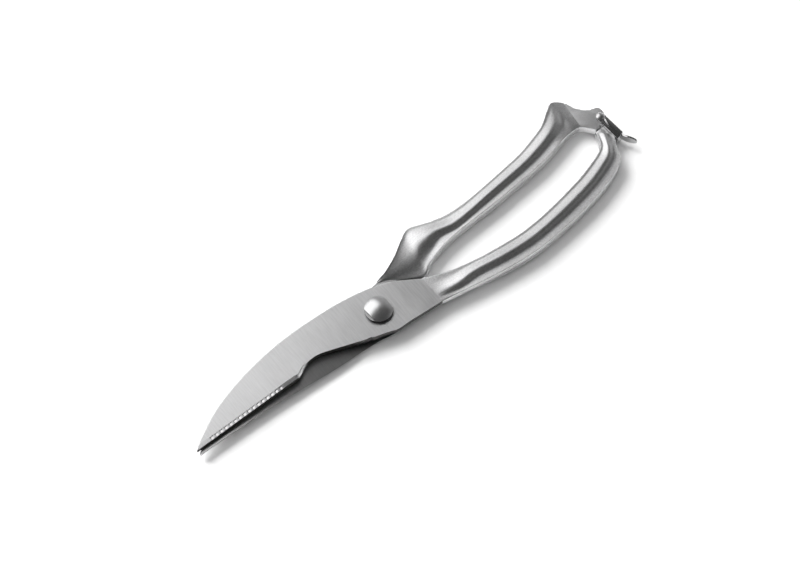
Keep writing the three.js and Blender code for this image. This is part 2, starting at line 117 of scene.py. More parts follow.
def outline_at(pairs, xs):
    """Y of an outline, given by a few points with rising x, at each of xs."""
    us = np.linspace(0, len(pairs) - 1, OUTLINE_SAMPLES * len(pairs))
    dense = np.array([spline(pairs, u) for u in us])
    return np.interp(xs, dense[:, 0], dense[:, 1])


def smoothstep(low, high, x):
    t = np.clip((x - low) / (high - low), 0, 1)
    return t * t * (3 - 2 * t)


def mix(a, b, t):
    return a + (b - a) * t


# ---------------------------------------------------------------- mesh makers

# Edges that bend more than this stay crisp.
SHARP_ANGLE = math.radians(32)
LATHE_SIDES = 96


def finish_mesh(name, bm, material, body, nodes):
    """Turns a bmesh in millimetres into a piece that rides on a body and stands for CAD nodes."""
    bmesh.ops.scale(bm, vec=(MM, MM, MM), verts=bm.verts)
    bmesh.ops.recalc_face_normals(bm, faces=bm.faces)
    mesh = bpy.data.meshes.new(name)
    bm.to_mesh(mesh)
    bm.free()
    for polygon in mesh.polygons:
        polygon.use_smooth = True
    mesh.set_sharp_from_angle(angle=SHARP_ANGLE)
    mesh.materials.append(material)
    piece = bpy.data.objects.new(name, mesh)
    bpy.context.scene.collection.objects.link(piece)
    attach(piece, body)
    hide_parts(*nodes)


def loft(sections):
    """A closed bmesh through sections, each a closed loop with the same number of points."""
    bm = bmesh.new()
    loops = [[bm.verts.new(p) for p in section] for section in sections]
    count = len(loops[0])
    for a, b in zip(loops, loops[1:]):
        for i in range(count):
            j = (i + 1) % count
            bm.faces.new((a[i], a[j], b[j], b[i]))
    bm.faces.new(loops[0])
    bm.faces.new(reversed(loops[-1]))
    return bm


def lathe(profile):
    """A bmesh turned round the pivot's axis, from (radius, z) points that start and end on it."""
    bm = bmesh.new()
    rings = []
    for radius, z in profile:
        if radius < 1e-6:
            rings.append([bm.verts.new((0, 0, z))])
            continue
        ring = []
        for k in range(LATHE_SIDES):
            angle = 2 * math.pi * k / LATHE_SIDES
            ring.append(bm.verts.new((radius * math.cos(angle), radius * math.sin(angle), z)))
        rings.append(ring)
    for a, b in zip(rings, rings[1:]):
        for k in range(LATHE_SIDES):
            n = (k + 1) % LATHE_SIDES
            corners = [a[k % len(a)], a[n % len(a)], b[n % len(b)], b[k % len(b)]]
            bm.faces.new(list(dict.fromkeys(corners)))
    return bm


def arc_points(centre, radius, start_deg, end_deg, count):
    """Points on an arc, both ends included."""
    angles = [math.radians(a) for a in np.linspace(start_deg, end_deg, count)]
    return [(centre[0] + radius * math.cos(a), centre[1] + radius * math.sin(a)) for a in angles]


# ---------------------------------------------------------------- materials


def new_material(name):
    material = bpy.data.materials.new(name)
    material.use_nodes = True
    nodes = material.node_tree.nodes
    return material, nodes, material.node_tree.links, nodes["Principled BSDF"]


def stretched_noise(nodes, links, turn_deg, scale, detail=3.0, rough=0.6):
    """Noise in the row frame with waves per metre for each axis.

    The turn about Z comes after the stretch. It changes the pattern and leaves its direction.
    """
    coords = nodes.new("ShaderNodeTexCoord")
    mapping = nodes.new("ShaderNodeMapping")
    mapping.vector_type = "POINT"
    mapping.inputs["Rotation"].default_value[2] = math.radians(turn_deg)
    mapping.inputs["Scale"].default_value = scale
    noise = nodes.new("ShaderNodeTexNoise")
    noise.inputs["Scale"].default_value = 1.0
    noise.inputs["Detail"].default_value = detail
    noise.inputs["Roughness"].default_value = rough
    links.new(coords.outputs["Object"], mapping.inputs["Vector"])
    links.new(mapping.outputs["Vector"], noise.inputs["Vector"])
    return noise.outputs["Fac"]


def ranged(nodes, links, value, low, high, source=(0.3, 0.7)):
    """A value moved from its source range to low..high."""
    node = nodes.new("ShaderNodeMapRange")
    node.inputs["From Min"].default_value = source[0]
    node.inputs["From Max"].default_value = source[1]
    node.inputs["To Min"].default_value = low
    node.inputs["To Max"].default_value = high
    links.new(value, node.inputs["Value"])
    return node.outputs["Result"]


def product(nodes, links, a, b):
    node = nodes.new("ShaderNodeMath")
    node.operation = "MULTIPLY"
    links.new(a, node.inputs[0])
    links.new(b, node.inputs[1])
    return node.outputs[0]


def grey(nodes, links, value, tint=(1.0, 1.0, 1.005)):
    """A near-neutral colour from a value."""
    node = nodes.new("ShaderNodeCombineColor")
    for channel, factor in zip(("Red", "Green", "Blue"), tint):
        scaled = nodes.new("ShaderNodeMath")
        scaled.operation = "MULTIPLY"
        scaled.inputs[1].default_value = factor
        links.new(value, scaled.inputs[0])
        links.new(scaled.outputs[0], node.inputs[channel])
    return node.outputs["Color"]


def bumped(nodes, links, height, depth_mm):
    """A normal for a surface that moves in and out by a depth as the height goes from 0 to 1."""
    node = nodes.new("ShaderNodeBump")
    node.inputs["Strength"].default_value = 1.0
    node.inputs["Distance"].default_value = depth_mm * MM
    links.new(height, node.inputs["Height"])
    return node.outputs["Normal"]


# The Z of a face's normal, from where a face gets the full painted shade of an upright wall to
# where it gets none.
WALL_SHADE_FACING = (0.2, 0.5)
# Waves per metre of the soft clouds that vary the tone.
CLOUD_SCALE = (60, 60, 60)


def steel(name, tone, roughness, grain_scale, grain_depth, tone_spread, rough_spread,
          turn=0, wall_shade_tone=1.0):
    """Bare steel with a grain that moves colour, roughness and surface height together.

    The grain runs along the axis that has the fewest waves per metre in grain_scale, and
    grain_depth is in millimetres. The tone for upright faces is painted shade: it darkens the
    faces that stand upright, standing in for the shadow and dark reflection on steep walls.
    """
    material, nodes, links, shader = new_material(name)
    grain = stretched_noise(nodes, links, turn, grain_scale)
    cloud = stretched_noise(nodes, links, 0, CLOUD_SCALE, 2.0, 0.5)
    grain_tone = ranged(nodes, links, grain, 1 - tone_spread, 1 + tone_spread)
    cloud_low = tone * (1 - tone_spread * 0.5)
    cloud_high = tone * (1 + tone_spread * 0.5)
    cloud_tone = ranged(nodes, links, cloud, cloud_low, cloud_high)
    value = product(nodes, links, grain_tone, cloud_tone)
    # Painted shade: faces that stand upright get a darker colour for the shadow and dark reflection
    # on steep walls.
    if wall_shade_tone < 1:
        coords = nodes.new("ShaderNodeTexCoord")
        split = nodes.new("ShaderNodeSeparateXYZ")
        links.new(coords.outputs["Normal"], split.inputs[0])
        wall_shade = ranged(nodes, links, split.outputs["Z"], wall_shade_tone, 1.0, source=WALL_SHADE_FACING)
        value = product(nodes, links, value, wall_shade)
    links.new(grey(nodes, links, value), shader.inputs["Base Color"])
    grain_rough = ranged(nodes, links, grain, roughness - rough_spread, roughness + rough_spread)
    links.new(grain_rough, shader.inputs["Roughness"])
    links.new(bumped(nodes, links, grain, grain_depth), shader.inputs["Normal"])
    shader.inputs["Metallic"].default_value = 1.0
    return material


# The blades are brushed across and the handles are satin.
BLADE_TURN = -18
LATCH_TURN = 8
# The blade steel's steep walls get painted shade, for the dark gap and shadow along the cutting
# edge and notch.
blade_steel = steel(
    "blade_steel", 0.74, 0.36, (1400, 110, 400), 0.006, 0.07, 0.07, turn=BLADE_TURN, wall_shade_tone=0.13)
inner_steel = steel(
    "inner_steel", 0.60, 0.32, (1500, 90, 400), 0.003, 0.06, 0.035, turn=BLADE_TURN)
handle_steel = steel("handle_steel", 0.76, 0.325, (1100, 1900, 1900), 0.009, 0.15, 0.045)
plate_steel = steel("plate_steel", 0.85, 0.5, (1500, 2200, 2200), 0.004, 0.07, 0.07)
# The polished steel's upright faces get painted shade, for the dark shadow ring round the pivot's
# head and washers.
polished_steel = steel(
    "polished_steel", 0.70, 0.31, (700, 700, 700), 0.0008, 0.03, 0.03, wall_shade_tone=0.15)
latch_steel = steel(
    "latch_steel", 0.55, 0.14, (3000, 120, 800), 0.002, 0.05, 0.03, turn=LATCH_TURN)
spring_steel = steel("spring_steel", 0.5, 0.34, (900, 900, 900), 0.002, 0.05, 0.05)

# ---------------------------------------------------------------- blades

# The cutting edge of the front blade is straight, from the tip to EDGE_END_X.
EDGE_Y = -4.1
EDGE_END_X = -47.0
TOOTH_COUNT = 16
TOOTH_PITCH = 2.44
FIRST_TOOTH_X = -93.4

FRONT_SPINE = [
    (-101.4, -4.2), (-97.5, -1.0), (-93.0, 1.6), (-84.4, 6.0), (-73.9, 9.6), (-61.2, 12.5),
    (-48.0, 14.4), (-34.9, 15.1), (-18.2, 14.6), (-5.8, 13.2), (4.7, 11.0), (12.8, 8.0),
    (20.0, 3.8), (24.8, 0.7),
]
FRONT_NOTCH = [
    (EDGE_END_X, EDGE_Y), (-44.8, -3.2), (-41.9, -1.6), (-39.1, -0.8), (-36.2, -0.5),
    (-32.7, -1.0), (-28.4, -2.4), (-19.7, -5.5), (-13.7, -7.7), (-11.0, -8.3), (-9.6, -9.2),
    (-6.0, -10.3), (-2.0, -11.6), (1.2, -12.7), (8, -12.9), (16, -13.4), (24.8, -13.9),
]
# How far the top face stands back from the notch's wall: a chamfer on its left side, then a hair.
NOTCH_SETBACK = [
    (-48.0, 1.2), (-45.5, 1.35), (-43.5, 1.3), (-41.5, 0.9), (-39.5, 0.4), (-37.5, 0.15),
    (26.0, 0.12),
]
# The steep bevel right at the cutting edge. Its drop is how far its top is under the flat face,
# and grows over LATE_DROP_X, close to the notch.
STEEP_BEVEL = {"width": 0.12, "drop": 0.03, "late_drop": 0.24}
LATE_DROP_X = (-60, -53)
SHALLOW_BEVEL_WIDTH = 1.9
# Where the section changes from the cutting edge's bevels to the notch's wall.
BEVEL_TO_WALL_X = (-47.6, -46.4)
# The wall from its foot to its top, as (share of the setback, share of the height).
WALL_SHARES = [
    (0, 0), (0.02, 0.2), (0.06, 0.42), (0.25, 0.57), (0.5, 0.73), (0.75, 0.88), (0.97, 0.995),
    (1, 1),
]
# Past the notch the wall's foot is cut back below its top.
UNDERCUT = 0.4
UNDERCUT_X = (-9.5, -6.0)
# The blade gets thinner towards its tip, and a little before the handle shell.
TAPER = [
    (-102, 1.5), (-90, 1.05), (-75, 0.55), (-62, 0.2), (-50, 0.0), (13, 0.0), (24.5, 0.4),
    (27, 0.4),
]
# How many degrees the flat face falls towards the spine: a little at the tip, none at the pivot.
FACE_LEAN = [(-102, 0.9), (-70, 1.0), (-45, 0.8), (-12, 0), (27, 0)]
# The broken edge along the spine, as shares of its width: in from the side and down from the top.
SPINE_ROUND = 0.4
SPINE_EDGE = [(1.0, 0.0), (0.55, 0.16), (0.25, 0.36), (0.08, 0.66), (0.0, 1.0)]
TONGUE_START_X = 25.0
TONGUE_END_X = 26.6
TONGUE_INSET = 0.06
FLUTE_DEPTH = 0.45
# Across a flute, as (share of the pitch, share of the depth): a short steep side, then a long
# gentle one.
FLUTE_PROFILE = [(0.0, 0.0), (0.14, 1.0), (0.3, 0.8), (0.66, 0.0), (1.0, 0.0)]
# Rows of the shallow bevel from the cutting edge up, and how deep the flutes are there.
FLUTE_ROWS = [(0.0, 0.35), (0.25, 0.55), (0.5, 0.8), (0.7, 1.0), (0.79, 0.0), (1.0, 0.0)]

# Rows this close to an edge keep the flat beside it flat when the mesh is shaded smooth.
HOLD = 0.08
# The narrowest that a strip of faces gets.
SLIVER = 0.02
# The front blade's columns: close together along the teeth, with a few more at sharp corners.
TIP_TRIM = 0.15
FRONT_STEP = 0.6
TEETH_STEP = 0.15
TEETH_X = (FIRST_TOOTH_X - 1, -54)
CORNER_COLUMNS = [EDGE_END_X - 0.01, EDGE_END_X + 0.3, -9.6, -10.2, -10.6, -11.2]
# Rows between the ends of the flat face and of the underside, as shares.
FRONT_FACE_ROWS = (0.25, 0.5, 0.75)
FRONT_UNDER_ROWS = (0.33, 0.66)
# Where the front section is too narrow for its bevel: the first row's share, and each row's step.
SQUEEZE_START = 0.2
SQUEEZE_STEP = 0.12


def flute(x):
    """Depth of the tooth flutes at x, as a share of the full depth."""
    phase = (x - FIRST_TOOTH_X) / TOOTH_PITCH
    if phase < 0 or phase > TOOTH_COUNT:
        return 0.0
    return float(np.interp(phase - math.floor(phase), *zip(*FLUTE_PROFILE)))


def blade_columns(start, end, step, fine_span=(0, 0), fine_step=None):
    """X of the columns of a blade, with a smaller step within the fine span."""
    xs = [start]
    while xs[-1] < end - 1e-6:
        fine = fine_span[0] <= xs[-1] < fine_span[1]
        xs.append(min(xs[-1] + (fine_step if fine else step), end))
    return xs


def front_bevel_points(x):
    """The front blade's section from the cutting edge up to its flat face, as (y, z)."""
    bite = flute(x)
    drop = mix(STEEP_BEVEL["drop"], STEEP_BEVEL["late_drop"], smoothstep(*LATE_DROP_X, x))
    steep_y = EDGE_Y + STEEP_BEVEL["width"]
    steep_z = FRONT_TOP - drop
    shallow_y = EDGE_Y + SHALLOW_BEVEL_WIDTH
    points = [(EDGE_Y, FRONT_LOW)]
    points.append((mix(EDGE_Y, steep_y, 0.5), mix(FRONT_LOW, steep_z, 0.5)))
    for share, depth in FLUTE_ROWS:
        z = mix(steep_z, FRONT_TOP, share)
        points.append((mix(steep_y, shallow_y, share), z - FLUTE_DEPTH * bite * depth))
    return points


def front_wall_points(y, setback):
    """The front blade's section up the notch's wall, with as many (y, z) points as the bevel."""
    return [(y + setback * across, mix(FRONT_LOW, FRONT_TOP, up)) for across, up in WALL_SHARES]


def front_section(x, high, low, back):
    """The front blade's section at x, from low to high in y."""
    bevel = [(y + max(low, EDGE_Y) - EDGE_Y, z) for y, z in front_bevel_points(x)]
    wall = front_wall_points(low, back)
    to_wall = smoothstep(*BEVEL_TO_WALL_X, x)
    climb = [tuple(mix(np.array(a), np.array(b), to_wall)) for a, b in zip(bevel, wall)]
    width = max(high - climb[0][0], 0.05)
    round_here = min(SPINE_ROUND, width * 0.3)
    # Near the tip the section is narrower than the bevel, so the bevel is squeezed in.
    room = high - round_here - SLIVER
    climb = [
        (min(y, mix(climb[0][0], room, SQUEEZE_START + SQUEEZE_STEP * k)) if y > room else y, z)
        for k, (y, z) in enumerate(climb)
    ]
    inner = climb[-1][0]
    hold = min(HOLD, (high - round_here - inner) * 0.2)
    across = [(inner + hold, FRONT_TOP)]
    across += [(mix(inner, high - round_here, s), FRONT_TOP) for s in FRONT_FACE_ROWS]
    across += [(high - round_here - hold, FRONT_TOP)]
    corner = [
        (high - round_here * aside, FRONT_TOP - round_here * down) for aside, down in SPINE_EDGE
    ]
    foot = [(high, FRONT_LOW)]
    undercut = UNDERCUT * smoothstep(*UNDERCUT_X, x)
    climb = [(y + undercut * (FRONT_TOP - z) / (FRONT_TOP - FRONT_LOW), z) for y, z in climb]
    under = [(mix(high, climb[0][0], s), FRONT_LOW) for s in FRONT_UNDER_ROWS]
    lean = math.tan(math.radians(np.interp(x, *zip(*FACE_LEAN))))
    thinner = np.interp(x, *zip(*TAPER))
    section = []
    for y, z in climb + across + corner + foot + under:
        share = (z - FRONT_LOW) / (FRONT_TOP - FRONT_LOW)
        section.append((x, y, z - (lean * max(y - inner, 0) + thinner) * share))
    return section


def front_blade():
    start = FRONT_SPINE[0][0] + TIP_TRIM
    xs = blade_columns(start, TONGUE_START_X, FRONT_STEP, TEETH_X, TEETH_STEP)
    xs = sorted(set(xs + CORNER_COLUMNS))
    spine = outline_at(FRONT_SPINE, xs)
    notch = np.where(np.array(xs) < EDGE_END_X, EDGE_Y, outline_at(FRONT_NOTCH, xs))
    setback = np.interp(xs, *zip(*NOTCH_SETBACK))
    sections = [front_section(*column) for column in zip(xs, spine, notch, setback)]
    # The tongue: the end goes on under the handle shell, a hair inside it.
    last = sections[-1]
    middle = (last[0][1] + spine[-1]) / 2
    shrink = 1 - 2 * TONGUE_INSET / (spine[-1] - last[0][1])
    top = FRONT_TOP - TONGUE_INSET
    for x in (TONGUE_START_X + 0.01, TONGUE_END_X):
        sections.append([(x, middle + (y - middle) * shrink, min(z, top)) for _, y, z in last])
    bm = loft(sections)
    finish_mesh("front_blade_fine", bm, blade_steel, "front_half", ["front_blade"])


front_blade()

REAR_EDGE = [
    (-100.6, -5.0), (-97.5, -3.4), (-90.0, -2.2), (-60.0, 0.6), (-22.0, 4.0), (-15.0, 6.4),
    (-9.5, 10.2), (-2.0, 12.2), (5.2, 12.2), (13.0, 13.2), (20.0, 16.0), (24.2, 18.0),
    (28.4, 20.4),
]
REAR_SPINE = [
    (-100.6, -5.6), (-99.6, -5.9), (-95.0, -6.0), (-75.0, -6.4), (-60.0, -7.1), (-45.0, -8.1),
    (-30.0, -9.2), (-10.0, -9.8), (-3.0, -10.8), (2.4, -11.3), (7.0, -10.4), (13.0, -7.6),
    (19.4, -3.6), (24.2, -0.3), (28.4, 2.6),
]
# How many degrees the inner face falls towards the spine. Below 0 it falls the other way.
REAR_LEAN = [
    (-102, -1.5), (-92, -1.0), (-80, 0.8), (-70, 2.2), (-52, 4.6), (-38, 6.1), (-24, 6.5),
    (-10, 6.5), (4, 4.5), (9, 0.1), (14, 0), (30, 0),
]
# The line in the inner face from which it falls towards the spine.
REAR_HINGE = [(-97.5, -3.4), (-22.0, 4.0), (-15.0, 6.4), (-9.5, 10.2), (-2.0, 12.2), (30.0, 12.2)]
REAR_END_X = 27.2
REAR_STEP = 0.8
REAR_ROUND = 0.12
# The chamfer under the spine and the bevel under the cutting edge run out before the pivot.
SPINE_CHAMFER = 1.5
CHAMFER_OUT_X = (-14, -6)
REAR_EDGE_BEVEL = {"width": 1.6, "height": 1.2}
REAR_BEVEL_OUT_X = (-24, -16)
# Rows between the ends of the inner face and of the underside, as shares.
REAR_FACE_ROWS = (0.2, 0.45, 0.75)
REAR_UNDER_ROWS = (0.66, 0.33)


def rear_section(x, high, low, lean_deg, hinge):
    """The rear blade's section at x, from low to high in y."""
    width = high - low
    r = min(REAR_ROUND, width * 0.2)
    bevel = 1 - smoothstep(*REAR_BEVEL_OUT_X, x)
    bevel_y = min(REAR_EDGE_BEVEL["width"] * bevel, width * 0.4)
    bevel_z = REAR_EDGE_BEVEL["height"] * bevel + SLIVER
    chamfer = min(SPINE_CHAMFER * (1 - smoothstep(*CHAMFER_OUT_X, x)), width * 0.45)
    points = [(low + r + chamfer, REAR_LOW), (low + r * 0.3 + chamfer, REAR_LOW + r * 0.3)]
    points += arc_points((low + r, REAR_TOP - r), r, 200, 90, 5)
    hold = min(HOLD, width * 0.1)
    points += [(low + r + hold, REAR_TOP)]
    points += [(mix(low + r, high, s), REAR_TOP) for s in REAR_FACE_ROWS]
    points += [(high - hold, REAR_TOP), (high, REAR_TOP)]
    under_start = low + r + chamfer
    under_end = high - bevel_y - SLIVER
    points += [(high, REAR_LOW + bevel_z), (under_end, REAR_LOW)]
    points += [(mix(under_start, under_end, s), REAR_LOW) for s in REAR_UNDER_ROWS]
    lean = math.tan(math.radians(lean_deg))
    section = []
    for y, z in points:
        share = (z - REAR_LOW) / (REAR_TOP - REAR_LOW)
        fall = lean * max(hinge - y, 0) if lean > 0 else -lean * (y - low)
        section.append((x, y, z - fall * share))
    return section


def rear_blade():
    xs = blade_columns(REAR_EDGE[0][0], REAR_END_X, REAR_STEP)
    edge = outline_at(REAR_EDGE, xs)
    spine = outline_at(REAR_SPINE, xs)
    leans = outline_at(REAR_LEAN, xs)
    hinges = np.interp(xs, *zip(*REAR_HINGE))
    sections = [rear_section(*column) for column in zip(xs, edge, spine, leans, hinges)]
    bm = loft(sections)
    finish_mesh("rear_blade_fine", bm, inner_steel, "rear_half", ["rear_blade"])


rear_blade()

# ---------------------------------------------------------------- handles

# A skin holds: left rim height, right rim height, dome height, rim width, the dome's share of the
# width, and the peak's share of the dome. Heights are from the seam, and MID is where the peak of
# DOME_SLOPES is.
MID = 0.55
FLUSH = (RIM, RIM, RIM, 1.0, 0.7, MID)
FULL = (RIM, RIM, RIM + 0.9, 1.1, 0.64, MID)
REAR_FULL = (RIM, RIM, RIM + 0.9, 1.1, 0.66, MID)
FRONT_NARROW = (RIM, RIM, 3.9, 1.0, 0.66, MID)
FRONT_LOWER = (2.6, 2.6, 3.45, 0.8, 0.68, MID)
FRONT_END = (2.2, 2.2, 2.8, 0.8, 0.68, MID)
REAR_BUTT = (2.6, 2.55, 3.5, 1.4, 0.66, MID)
REAR_FLAT = (2.25, 2.23, 2.27, 1.2, 0.6, 0.5)
REAR_END = (2.16, 2.16, 2.2, 0.8, 0.8, MID)

# A station holds: the left edge, the right edge, the plain skin and the skin that ramps up from
# the blade.
PLAIN = 2
RAMP = 3
FRONT_HANDLE = [
    ((25.0, 0.6), (25.0, -13.9),
     (RIM - 0.38, RIM - 0.38, RIM - 0.38, 0.9, 0.8, 0.8), (0.2, 0.2, 0.3, 0.5, 0.7, MID)),
    ((36.5, -3.9), (36.0, -15.9),
     (RIM, RIM, RIM + 0.85, 0.9, 0.8, 0.7), (1.4, 0.8, 2.0, 0.6, 0.7, MID)),
    ((47.0, -6.3), (46.0, -17.6), FULL, (2.6, 1.6, 3.0, 1.0, 0.7, MID)),
    ((60.0, -8.1), (60.0, -19.6), FULL, (3.0, 2.6, 3.8, 1.4, 0.68, MID)),
    ((74.0, -9.1), (75.0, -20.6), FULL, FULL),
    ((87.0, -8.4), (89.0, -19.6), FULL, FULL),
    ((100.0, -6.5), (103.0, -18.0), FULL, FULL),
    ((113.0, -4.1), (117.0, -15.3), FULL, FULL),
    ((121.5, -1.7), (128.0, -11.9), FULL, FULL),
    ((128.5, 0.7), (134.9, -8.1), FULL, FULL),
    ((132.4, 3.2), (137.2, -3.4), FRONT_NARROW, FRONT_NARROW),
    ((134.3, 6.2), (139.6, 0.6), FRONT_LOWER, FRONT_LOWER),
    ((135.8, 9.9), (142.2, 4.3), FRONT_END, FRONT_END),
]
REAR_HANDLE = [
    ((8.6, 12.9), (10.6, 11.6), FLUSH, (0.3, -0.1, 0.4, 0.3, 0.9, MID)),
    ((15.2, 14.2), (14.8, 9.0), FLUSH, (1.4, -0.1, 0.8, 0.3, 0.9, MID)),
    ((22.5, 17.3), (20.9, 5.2), FLUSH, (2.5, 0.3, 1.75, 0.3, 0.9, MID)),
    ((29.5, 21.6), (27.4, 1.6),
     (RIM, RIM, 3.6, 1.0, 0.7, MID), (RIM, 1.0, 2.8, 0.7, 0.85, MID)),
    ((35.0, 24.3), (32.0, 4.0),
     (RIM, RIM, 4.3, 1.3, 0.7, MID), (RIM, 2.5, 3.9, 0.9, 0.82, MID)),
    ((40.0, 23.1), (37.5, 6.2), REAR_FULL, (RIM, RIM - 0.1, 4.2, 1.0, 0.78, MID)),
    ((46.0, 20.9), (44.5, 7.8), REAR_FULL, REAR_FULL),
    ((53.0, 19.4), (53.0, 8.9), REAR_FULL, (RIM, RIM, RIM + 0.9, 1.2, 0.76, 0.6)),
    ((62.0, 18.9), (62.0, 9.4), REAR_FULL, (RIM, RIM, RIM + 0.9, 1.2, 0.72, 0.58)),
    ((74.0, 19.8), (74.0, 9.9), REAR_FULL, REAR_FULL),
    ((87.0, 21.3), (88.0, 11.1), REAR_FULL, REAR_FULL),
    ((99.0, 22.9), (101.0, 12.3), REAR_FULL, REAR_FULL),
    ((109.0, 25.4), (111.5, 14.0), REAR_FULL, REAR_FULL),
    ((118.0, 28.4), (119.5, 16.0), REAR_FULL, REAR_FULL),
    ((125.2, 33.0), (125.5, 17.2), REAR_BUTT, REAR_BUTT),
    ((130.4, 35.7), (129.5, 17.5), REAR_FLAT, REAR_FLAT),
    ((135.0, 32.4), (132.6, 17.0), REAR_END, REAR_END),
]
SECTIONS_PER_STATION = 14
# Where the lower shells start, in stations counted from 0.
FRONT_LOWER_START = 0.45
REAR_LOWER_START = 2.7
# The rounded corner at the top of each wall, and its points as degrees.
EDGE_ROUND = 0.42
LEFT_CORNER = (0, 25, 50, 72)
RIGHT_CORNER = (18, 40, 65, 90)
# The lip along the seam, which fades out where the rim is low, and half of the seam's gap.
SEAM_LIP = 0.22
LIP_RIM = (0.6, 2.0)
SEAM_HALF = 0.03
LOWEST_SKIN = -0.1
DOME_COLUMNS = 18
# How steep the dome is across it, from its left end to its right end.
DOME_SLOPES = [
    (0, 0), (0.1, 1), (0.37, 1), (0.58, 0), (0.69, -1.1), (0.8, -1.1), (0.95, 0), (1, 0),
]
FLARE_SLOPE = 0.09
dome_ts = np.linspace(0, 1, 201)
dome_heights = np.cumsum(np.interp(dome_ts, *zip(*DOME_SLOPES)))
dome_heights = (dome_heights - dome_heights[-1] * dome_ts) / dome_heights.max()


def dome_bump(t, where):
    """The dome's height at t: 0 at both ends and 1 near t = where, with straight flanks."""
    shifted = min(max(t, 0), 1) ** (math.log(MID) / math.log(where))
    return float(np.interp(shifted, dome_ts, dome_heights))


def skin_height(s, width, skin):
    """The skin's height over the seam, s millimetres from the left edge."""
    left, right, top, rim_width, share, where = skin
    base = mix(left, right, s / width)
    start = rim_width
    end = min(start + share * width, width)
    peak = mix(left, right, mix(start, end, where) / width)
    rise = max(top - peak, 0)
    # The dome runs out into a shallow valley, and the right rim flares up again from it.
    level = max(1 - abs(left - right), 0)
    sink = smoothstep(mix(start, end, 0.5), end, s)
    flare = 1 - (max(s - end, 0) / (width - end + 0.01))
    valley = FLARE_SLOPE * level * (width - end) * min(rise, 1) * sink * flare
    return base + rise * dome_bump((s - start) / (end - start), where) - valley


def shell_section(left, right, skin, side):
    """A closed loop round a half shell: up the left wall, over the skin and down the right wall."""
    left = np.asarray(left, float)
    across = np.asarray(right, float) - left
    width = float(np.hypot(*across))
    across = across / width
    rim_width = skin[3]
    low_rim = min(skin[0], skin[1])
    r = max(min(EDGE_ROUND, width * 0.1, 0.45 * max(low_rim, 0.05)), 0.01)
    dome_end = min(rim_width + skin[4] * width, width - r - 0.1)
    stops = [r, mix(r, rim_width, 0.5), rim_width - 0.02]
    stops += [mix(rim_width, dome_end, t) for t in np.linspace(0, 1, DOME_COLUMNS + 1)[1:]]
    stops += [mix(dome_end, width - r, t) for t in (0.5, 1)]
    lip = SEAM_LIP * smoothstep(*LIP_RIM, low_rim)
    loop = [(-lip, SEAM_HALF), (-lip, SEAM_HALF + 0.2 * lip), (0, SEAM_HALF + lip)]
    left_top = skin_height(0, width, skin)
    right_top = skin_height(width, width, skin)
    for a in map(math.radians, LEFT_CORNER):
        loop.append((r - r * math.cos(a), left_top - r + r * math.sin(a)))
    loop += [(s, skin_height(s, width, skin)) for s in stops]
    for a in map(math.radians, RIGHT_CORNER):
        loop.append((width - r + r * math.sin(a), right_top - r + r * math.cos(a)))
    loop += [(width, SEAM_HALF + lip), (width + lip, SEAM_HALF + 0.2 * lip)]
    loop += [(width + lip, SEAM_HALF)]
    points = []
    for s, height in loop:
        p = left + across * s
        points.append((p[0], p[1], MID_Z + side * max(height, LOWEST_SKIN)))
    return points


def half_shell(stations, which, side, start):
    """Sections of one half shell from a station, counted from 0 at the blade end, to the last."""
    end = len(stations) - 1
    sections = []
    count = int(math.ceil((end - start) * SECTIONS_PER_STATION))
    lefts = [s[0] for s in stations]
    rights = [s[1] for s in stations]
    skins = [s[which] for s in stations]
    for u in np.linspace(start, end, count + 1):
        left, right, skin = (spline(values, u) for values in (lefts, rights, skins))
        sections.append(shell_section(left, right, skin, side))
    return sections


def handle_shells():
    for name, stations, which, side, start, body in (
        ("front_handle_upper_shell", FRONT_HANDLE, PLAIN, 1, 0, "front_half"),
        ("front_handle_lower_shell", FRONT_HANDLE, RAMP, -1, FRONT_LOWER_START, "front_half"),
        ("rear_handle_upper_shell", REAR_HANDLE, RAMP, 1, 0, "rear_half"),
        ("rear_handle_lower_shell", REAR_HANDLE, PLAIN, -1, REAR_LOWER_START, "rear_half"),
    ):
        sections = half_shell(stations, which, side, start)
        finish_mesh(name + "_fine", loft(sections), handle_steel, body, [name])


handle_shells()

# ---------------------------------------------------------------- pivot

HEAD_RADIUS = 6.4
HEAD_FLAT = 5.2
HEAD_SLOPE = math.radians(29)
HEAD_RIM = 1.0
HEAD_ROUND = 0.15
HEAD_RINGS = 22
SHANK_RADIUS = 2.2
# Faces that lie on the washers stay this far off them.
WASHER_GAP = 0.05
# Points this close to a cutting plane lie in it.
NEAR = 1e-3


def pivot_screw():
    low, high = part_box("pivot_screw")
    head_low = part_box("pivot_washer_top")[1].z / MM + WASHER_GAP
    rim_top = head_low + HEAD_RIM
    rise = high.z / MM - rim_top
    profile = [(0, low.z / MM), (SHANK_RADIUS, low.z / MM), (SHANK_RADIUS, head_low)]
    profile += [(HEAD_RADIUS - HEAD_ROUND, head_low), (HEAD_RADIUS, head_low + HEAD_ROUND)]
    profile += [(HEAD_RADIUS, rim_top)]
    for k in range(1, HEAD_RINGS):
        angle = HEAD_SLOPE * (1 - k / HEAD_RINGS)
        out = HEAD_RADIUS * math.sin(angle) / math.sin(HEAD_SLOPE)
        up = (math.cos(angle) - math.cos(HEAD_SLOPE)) / (1 - math.cos(HEAD_SLOPE))
        profile.append((out, rim_top + rise * up))
    profile.append((0, rim_top + rise))
    bm = lathe(profile)
    for side in (1, -1):
        cut_flat(bm, side, rim_top)
    finish_mesh(
        "pivot_screw_fine", bm, polished_steel, "front_half", ["pivot_screw"])


